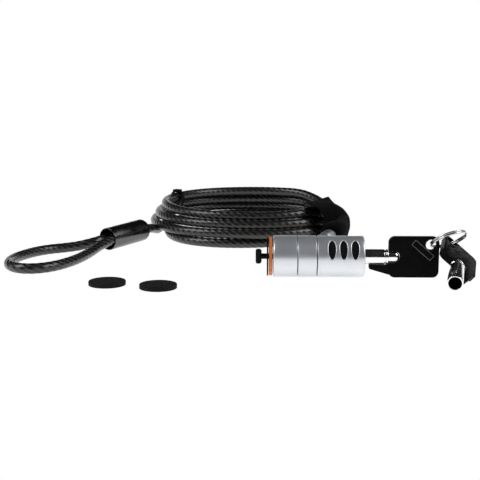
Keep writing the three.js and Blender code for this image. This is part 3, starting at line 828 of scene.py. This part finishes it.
def add_tie():
    """A plastic tie round the two top turns, with its head on top and its tail hanging inside."""
    turn = math.radians(TIE_ANGLE)
    out = Vector((math.cos(turn), math.sin(turn), 0))
    side = Vector((-out.y, out.x, 0))
    place = TABLE @ Matrix.Translation(COIL_CENTRE) @ Matrix((out, side, (0, 0, 1))).transposed().to_4x4()
    top, low = (
        Vector((spot.dot(out), spot.z))
        for spot in (coil_point(TIE_ANGLE) - COIL_CENTRE, coil_point(TIE_ANGLE + 360) - COIL_CENTRE)
    )
    lean = math.atan2((top - low).y, (top - low).x)
    reach = CABLE_R + 0.75
    hull = arc(top, reach, lean - math.pi / 2, lean + math.pi / 2, 14)
    hull += arc(low, reach, lean + math.pi / 2, lean + 1.5 * math.pi, 14)
    hull = [Vector((x, 0, z)) for x, z in hull]
    hull.append(hull[0])
    outward = []
    for k, spot in enumerate(hull):
        ahead = hull[min(k + 1, len(hull) - 1)] - hull[max(k - 1, 0)]
        outward.append(Vector((ahead.z, 0, -ahead.x)).normalized())
    loop = band(hull, [Vector((0, 1, 0))] * len(hull), outward, TIE_WIDTH, TIE_THICKNESS, 6)
    head = slab([filleted([(-2.4, -2.3), (2.4, -2.3), (2.4, 2.3), (-2.4, 2.3)], 0.9)], 1.5, 0.4)
    head = shifted(head, Matrix.Translation((top.x - 0.6, 0, top.y + reach + 0.5)))
    tail_points = [
        (top.x - 1, 0.3, top.y + reach + 0.5),
        (top.x - 4.4, 0.6, top.y + 3),
        (top.x - 5.6, 1.6, top.y - 0.5),
        (top.x - 5.4, 3, top.y - 5),
    ]
    tail_line = smooth_path(tail_points, 0.8)
    tilt = [Vector((1, 0, 0.7)).normalized()] * len(tail_line)
    tail = band(tail_line, [Vector((0, 1, 0))] * len(tail_line), tilt, 2.8, 0.9, 6)
    piece("tie_band", [loop, head, tail], place, "tie_plastic", "root", ["cable_tie"])


# ---------------------------------------------------------------- lock head
def turned_piece(name, corners, slot, body, replaces, fillet=0.25, matrix=LOCK, segments=112):
    return piece(name, [lathe(filleted(corners, fillet), segments)], matrix, slot, body, replaces)


def add_casing():
    turned_piece(
        "nose_washer", [(0, 4.4), (0, 9.45), (NOSE_END, 9.45), (NOSE_END, 4.4)],
        "nose_plastic", "housing", ["nose_ring"], 0.22,
    )
    turned_piece(
        "cushion_skin",
        [(CUSHION_START, 4.6), (CUSHION_START, 9.3, 0.5), (CUSHION_END, 9.3, 0.5), (CUSHION_END, 4.6)],
        "copper_rubber", "housing", ["cushion_ring"], 0.3,
    )
    inner = SPINDLE_R + 0.5
    turned_piece(
        "front_sleeve",
        [
            (FRONT_START, inner), (FRONT_START, LOCK_R, 0.95), (FRONT_END, LOCK_R, 0.35),
            (FRONT_END, SHELL_BORE_R), (FRONT_START + 2.2, SHELL_BORE_R), (FRONT_START + 2.2, inner),
        ],
        "satin_silver", "housing", ["front_shell"],
    )


def pocket_point(x, across, radius):
    """A place in a grip pocket, given along the lock, round it and out from its axis."""
    out = math.sqrt(max(radius * radius - across * across, 0))
    return Vector((x, across, out))


def side_turn(angle):
    """Turns a grip's own frame, with Z out of the shell, to that angle round the lock."""
    return Matrix.Rotation(angle - math.pi / 2, 4, "X")


def add_rear_shell():
    """The rear shell's skin is a grid in which each grip pocket replaces a block of faces."""
    around, span, along, rounding = 96, 9, 6, 5
    half_cell = GRIP_PITCH / 2
    edge_x = [GRIP_STATIONS[0] - half_cell + i * GRIP_PITCH / along for i in range(3 * along + 1)]
    corners = [(REAR_START, SHELL_BORE_R, 0.2), (REAR_START, LOCK_R, 0.35), *((x, LOCK_R, 0) for x in edge_x)]
    corners += [(REAR_END, LOCK_R, 1.15), (REAR_END, BARREL_R + 0.5, 0.35), (REAR_END - 2.3, BARREL_R + 0.5)]
    corners += [(REAR_END - 2.3, SHELL_BORE_R)]
    outline = filleted(corners, 0.2, rounding)
    first = 2 * (rounding + 1)       # the outline's grip stations follow its first two rounded corners
    count = len(outline)
    start_step = round((GRIP_ANGLE / TAU) * around)
    turn = GRIP_ANGLE - start_step * TAU / around
    verts = [
        Vector((p.x, p.y * math.cos(TAU * i / around + turn), p.y * math.sin(TAU * i / around + turn)))
        for i in range(around)
        for p in outline
    ]
    middles = (start_step, start_step + around // 2)
    faces = []
    for i in range(around):
        near = any(-span <= (i - m + around // 2) % around - around // 2 < span for m in middles)
        j = (i + 1) % around
        for k in range(count):
            if near and first <= k < first + 3 * along:
                continue
            n = (k + 1) % count
            faces.append((i * count + k, i * count + n, j * count + n, j * count + k))
    shell = (verts, faces)
    pockets = [pocket_mesh(x, side, span, along, around) for side in (0, math.pi) for x in GRIP_STATIONS]
    piece("rear_sleeve", [shell, *pockets], LOCK, "satin_silver", "housing", ["rear_shell"], sharp=50)


def pocket_mesh(station, side, span, along, around):
    """A cell of the shell: rings that shrink from its border to the oval, then the oval's wall and floor."""
    step = TAU / around
    half_cell = GRIP_PITCH / 2
    border = [(-half_cell + i * GRIP_PITCH / along, -span * step) for i in range(along)]
    border += [(half_cell, -span * step + i * step) for i in range(2 * span)]
    border += [(half_cell - i * GRIP_PITCH / along, span * step) for i in range(along)]
    border += [(-half_cell, span * step - i * step) for i in range(2 * span)]
    wide = LOCK_R * math.sin(span * step)
    spokes = [math.atan2(a / (span * step) * wide / GRIP_HALF_HEIGHT, x / GRIP_HALF_WIDTH) for x, a in border]
    rings = [[pocket_point(x, LOCK_R * math.sin(a), LOCK_R) for x, a in border]]
    for share in (0.45, 0.8):
        rings.append([
            pocket_point(
                x * (1 - share) + share * (GRIP_HALF_WIDTH + 0.3) * math.cos(t),
                LOCK_R * math.sin(a) * (1 - share) + share * (GRIP_HALF_HEIGHT + 0.3) * math.sin(t),
                LOCK_R,
            )
            for (x, a), t in zip(border, spokes)
        ])
    lip = ((0.3, LOCK_R), (0.14, LOCK_R - 0.05), (0.03, LOCK_R - 0.18), (0, LOCK_R - 0.4))
    lip += ((0, POCKET_FLOOR_R),)
    for grow, radius in lip:
        half_x, half_y = GRIP_HALF_WIDTH + grow, GRIP_HALF_HEIGHT + grow
        rings.append([pocket_point(half_x * math.cos(t), half_y * math.sin(t), radius) for t in spokes])
    count = len(border)
    place = Matrix.Translation((station, 0, 0)) @ side_turn(GRIP_ANGLE + side)
    verts = [place @ v for ring in rings for v in ring]
    verts.append(place @ Vector((0, 0, POCKET_FLOOR_R)))
    faces = [
        (r * count + j, r * count + (j + 1) % count, (r + 1) * count + (j + 1) % count, (r + 1) * count + j)
        for r in range(len(rings) - 1)
        for j in range(count)
    ]
    last = (len(rings) - 1) * count
    faces += [(last + j, last + (j + 1) % count, len(verts) - 1) for j in range(count)]
    return verts, faces


def add_grips():
    """Oval rubber inserts with fine slanting ribs."""
    columns, rows, rib_pitch, rib_height, clearance = 20, 44, 0.8, 0.16, 0.1
    crown, rim_drop, underside = 9.72, 0.22, 9.1
    half_x, half_y = GRIP_HALF_WIDTH - clearance, GRIP_HALF_HEIGHT - clearance
    number = 0
    for side in (0, math.pi):
        for station in GRIP_STATIONS:
            number += 1
            place = Matrix.Translation((station, 0, 0)) @ side_turn(GRIP_ANGLE + side)
            verts, faces = [], []
            for layer in (0, 1):
                for i in range(columns + 1):
                    for j in range(rows + 1):
                        u, v = 2 * i / columns - 1, 2 * j / rows - 1
                        x = half_x * u * math.sqrt(1 - v * v / 2)
                        y = half_y * v * math.sqrt(1 - u * u / 2)
                        rim = max(abs(u), abs(v)) ** 10
                        rib = math.cos(TAU * (x * 0.8 + y * 0.6) / rib_pitch)
                        top = crown + rib_height / 2 * rib * (1 - rim) - rim_drop * rim
                        verts.append(place @ pocket_point(x, y, underside if layer else top))
            per_layer, per_column = (columns + 1) * (rows + 1), rows + 1
            for i in range(columns):
                for j in range(rows):
                    a = i * per_column + j
                    quad = (a, a + 1, a + per_column + 1, a + per_column)
                    faces.append(quad)
                    faces.append(tuple(per_layer + n for n in reversed(quad)))
            edge = [i * per_column for i in range(columns)]
            edge += [columns * per_column + j for j in range(rows)]
            edge += [i * per_column + rows for i in range(columns, 0, -1)]
            edge += [j for j in range(rows, 0, -1)]
            for a, b in zip(edge, edge[1:] + edge[:1]):
                faces.append((a, b, b + per_layer, a + per_layer))
            piece(
                f"grip_pad_{number}", [(verts, faces)], LOCK, "grip_rubber", "housing", [f"grip_{number}"], 60
            )


def add_tbar():
    half, shoulder, face = TBAR_LENGTH / 2, TBAR_LENGTH / 2 - 0.7, TBAR_TIP + TBAR_THICKNESS
    outline = filleted(
        [
            (TBAR_TIP + 0.5, -half), (face - 0.8, -half), (face, -shoulder), (face, shoulder),
            (face - 0.8, half), (TBAR_TIP + 0.5, half), (TBAR_TIP, shoulder), (TBAR_TIP, -shoulder),
        ],
        0.35, 3,
    )
    upright = Matrix.Rotation(math.pi / 2, 4, "X")
    head = shifted(slab([outline], TBAR_WIDTH, 0.32), upright)
    rod = [(TBAR_TIP + 1, 0), (TBAR_TIP + 1, SPINDLE_R), (SPINDLE_END, SPINDLE_R), (SPINDLE_END, 0)]
    spindle = lathe(filleted(rod, 0.2), 48)
    piece("t_bar_skin", [head, spindle], LOCK, "dark_metal", "plug", ["t_bar"])


def add_collar():
    ring = lathe(
        filleted(
            [
                (BAND_START, SHELL_BORE_R), (BAND_START, LOCK_R, 0.35), (BAND_END, LOCK_R, 0.35),
                (BAND_END, SHELL_BORE_R),
            ],
            0.2,
        ),
        112,
    )
    ear = [(PIVOT.x + EAR_R, 8.2), *arc(PIVOT, EAR_R, 0, math.pi, 20), (PIVOT.x - EAR_R, 8.2)]
    hole = arc(PIVOT, ANCHOR_PIN_R + 0.15, 0, TAU * 23 / 24, 23)
    plate = slab([ear, hole], EAR_OUTER_Z - EAR_INNER_Z, 0.3)
    middle = (EAR_OUTER_Z + EAR_INNER_Z) / 2
    ears = [shifted(plate, Matrix.Translation((0, 0, z))) for z in (middle, -middle)]
    piece("collar_skin", [ring, *ears], LOCK, "satin_silver", "collar", ["swivel_band"])

    reach = EAR_OUTER_Z + 0.3
    pin = [(-reach, 0), (-reach, ANCHOR_PIN_R, 0.5), (reach, ANCHOR_PIN_R, 0.5), (reach, 0)]
    upright = LOCK @ Matrix.Translation(PIVOT) @ Matrix.Rotation(-math.pi / 2, 4, "Y")
    turned_piece("pivot_pin", pin, "steel", "collar", ["anchor_pin"], 0.4, upright, 48)


def add_terminal():
    """An eye on the pivot pin and a crimped socket, cranked upwards, that holds the cable."""
    eye_half, neck_half, neck_end = EAR_INNER_Z - 0.4, 2.5, TERMINAL_BEND + SOCKET_START + 1
    start = math.asin(neck_half / EAR_R)
    outline = [(neck_end, -neck_half), (neck_end, neck_half), *arc((0, 0), EAR_R, start, TAU - start, 32)]
    hole = arc((0, 0), ANCHOR_PIN_R + 0.15, 0, TAU * 23 / 24, 23)
    eye = slab([outline, hole], 2 * eye_half, 0.45)
    corners = [(SOCKET_START, 0), (SOCKET_START, TERMINAL_R, 0.8)]
    for station in (9, 13, 17):
        corners += [(station - 1.3, TERMINAL_R), (station - 0.7, TERMINAL_R - 0.35)]
        corners += [(station + 0.7, TERMINAL_R - 0.35), (station + 1.3, TERMINAL_R)]
    mouth_r, mouth_depth = CABLE_R + 0.1, 1.5
    corners += [(SOCKET_END, TERMINAL_R, 0.7), (SOCKET_END, mouth_r, 0.2)]
    corners += [(SOCKET_END - mouth_depth, mouth_r), (SOCKET_END - mouth_depth, 0)]
    tilt = Matrix.Translation((TERMINAL_BEND, 0, 0)) @ Matrix.Rotation(-TERMINAL_RISE, 4, "Y")
    socket = shifted(lathe(filleted(corners, 0.25), 64), tilt)
    place = LOCK @ Matrix.Translation(PIVOT) @ Matrix.Rotation(TERMINAL_YAW, 4, "Z")
    piece("terminal_skin", [eye, socket], place, "zinc", "root", ["cable_terminal"])


# ---------------------------------------------------------------- keys, ring and pads
def key_frames():
    along = KEY_2_X.normalized()
    side = KEY_2_Z.cross(along).normalized()
    second = Matrix((along, side, along.cross(side))).transposed().to_4x4()
    tip = KEY_2_TIP - along * BARREL_TIP - Vector((0, 0, AXIS_HEIGHT / MM))
    return Matrix.Translation((BOW_START, 0, 0)), Matrix.Translation(tip) @ second


def bow_outline():
    half, r = BOW_HEIGHT / 2, 3.0
    outline = arc((BOW_LENGTH - r, -half + r), r, -math.pi / 2, 0, 8)
    outline += arc((BOW_LENGTH - r, half - r), r, 0, math.pi / 2, 8)
    outline += arc((r, half - r), r, math.pi / 2, math.pi, 8)
    notch = SHANK_R + 0.25
    notch_end = arc((SHANK_DEPTH + 0.3 - notch, 0), notch, math.pi / 2, -math.pi / 2, 12)
    outline += [(0, notch), *notch_end, (0, -notch)]
    root, tip = -BARREL_R - 0.3, -9.3
    outline += [(-0.3, root), (tip + 0.3, root)]
    outline += [(tip, root - 0.3), (tip, root - 1.6), (tip + 0.3, root - 1.95)]
    outline += [(0, -half + 1.4), *arc((r, -half + r), r, math.pi + 0.6, 1.5 * math.pi, 6)]
    return outline


def add_key(number, place, body):
    """A chromed tubular barrel with a domed shank, and a moulded bow with a blank plate on each face, the
    plate's rim paler as a painted highlight.
    """
    depth, groove_r, dome_start = BARREL_TIP + BORE_DEPTH, BARREL_R - 0.3, SHANK_DEPTH - SHANK_DOME
    corners = [(depth, 0), (depth, BARREL_BORE_R)]
    corners += [(BARREL_TIP, BARREL_BORE_R, 0.2), (BARREL_TIP, BARREL_R, 0.3)]
    corners += [(-2.1, BARREL_R, 0.15), (-1.9, groove_r, 0.1), (-1.3, groove_r, 0.1), (-1.1, BARREL_R, 0.15)]
    corners += [(-0.3, BARREL_R, 0.4), (-0.3, SHANK_R, 0.2)]
    outline = filleted([*corners, (dome_start, SHANK_R, 0), (dome_start, 0, 0)], 0.2)[:-1]
    for step in range(1, DOME_STEPS + 1):
        a = math.pi / 2 * (1 - step / DOME_STEPS)
        outline.append(Vector((dome_start + SHANK_DOME * math.cos(a), SHANK_R * math.sin(a))))
    matrix = LOCK @ place
    barrel = piece(
        f"key_{number}_tube", [lathe(outline, 96)], matrix, "chrome", body, [f"key_{number}_barrel"]
    )
    barrel.data.materials.append(LOOKS["dark_metal"])
    inside = matrix.inverted()
    for face in barrel.data.polygons:
        middle = inside @ face.center
        if middle.x < depth + 0.1 and math.hypot(middle.y, middle.z) < BARREL_BORE_R + 0.02:
            face.material_index = 1

    upright = Matrix.Rotation(math.pi / 2, 4, "X")
    eye = (BOW_LENGTH - RING_HOLE_INSET, BOW_HEIGHT / 2 - RING_HOLE_INSET)
    hole = arc(eye, RING_HOLE_R, 0, TAU * 31 / 32, 31)
    parts = [shifted(slab([bow_outline(), hole], BOW_THICKNESS, 0.42), upright)]
    plate = filleted([(-6, -1.6), (6, -1.6), (6, 1.6), (-6, 1.6)], 0.3)
    window = filleted([(-5.7, -1.3), (5.7, -1.3), (5.7, 1.3), (-5.7, 1.3)], 0.2)
    rim = slab([plate, window], 0.34, 0.08, 2)
    panel = slab([window], 0.16, 0.04, 1)
    tags = []
    for face in (1, -1):
        tilt = Matrix.Rotation(-math.radians(41), 4, "Z")
        spot = upright @ Matrix.Translation((16.2, 3.5, -face * BOW_THICKNESS / 2)) @ tilt
        tags.append(shifted(rim, spot))
        parts.append(shifted(panel, spot))
    # The plates' rims are paler than the bow: a painted highlight.
    piece(f"key_{number}_tag", tags, matrix, "painted_sheen_plastic", body)
    piece(f"key_{number}_grip", parts, matrix, "key_plastic", body, [f"key_{number}_bow"])
    return matrix


def add_key_ring(first, second):
    """A split ring: two turns of round wire, with its ends side by side."""
    eye = Vector((BOW_LENGTH - RING_HOLE_INSET, 0, BOW_HEIGHT / 2 - RING_HOLE_INSET))
    hole_1, hole_2 = (LOCK.inverted() @ (matrix @ eye) for matrix in (first, second))
    chord = hole_2 - hole_1
    to_centre = RING_FACING.cross(chord).normalized()
    if to_centre.z < 0:
        to_centre.negate()
    facing = to_centre.cross(chord).normalized()
    centre = (hole_1 + hole_2) / 2 + to_centre * math.sqrt(RING_R**2 - chord.length_squared / 4)
    wire, lead, steps = 0.46, 0.94, 160
    along = facing.cross(to_centre)
    path = []
    for i in range(steps + 1):
        turn = 2 * TAU * i / steps + 0.5
        rise = lead * (eased((turn - 0.5 - 0.82 * TAU) / (0.36 * TAU)) - 0.5)
        path.append(centre + (to_centre * math.cos(turn) + along * math.sin(turn)) * RING_R + facing * rise)
    ring = circle(wire, 16)
    piece("split_ring", [sweep(path, lambda k: ring)], LOCK, "ring_steel", "ring", ["key_ring"])


def add_pads():
    upright = Matrix.Rotation(-math.pi / 2, 4, "Y")
    corners = [(0, 0), (0, PAD_R, 0.15), (PAD_THICKNESS, PAD_R, 0.3), (PAD_THICKNESS, 0)]
    for number, (x, y) in enumerate(PAD_CENTRES, 1):
        place = TABLE @ Matrix.Translation((x, y, 0)) @ upright
        turned_piece(f"pad_disc_{number}", corners, "pad_rubber", "root", [f"pad_{number}"], 0.2, place, 96)


def dress_cad_nodes():
    """Each CAD node gets the detailed material of its slot."""
    slot_of = {row["node"]: row["material_slot"] for row in frame["record"]["subparts"]}
    for name, node in frame["nodes"].items():
        node.data.materials.clear()
        node.data.materials.append(LOOKS[slot_of[name]])


add_camera()
add_floor()
add_light()
dress_cad_nodes()
cable, cable_path = add_cable()
sleeve, ferrule = add_sleeve()

add_strap()
add_tie()
add_casing()
add_rear_shell()
add_grips()
add_tbar()
add_collar()
add_terminal()
key_matrices = [
    add_key(number, place, f"key_{number}") for number, place in enumerate(key_frames(), 1)
]
add_key_ring(*key_matrices)
add_pads()
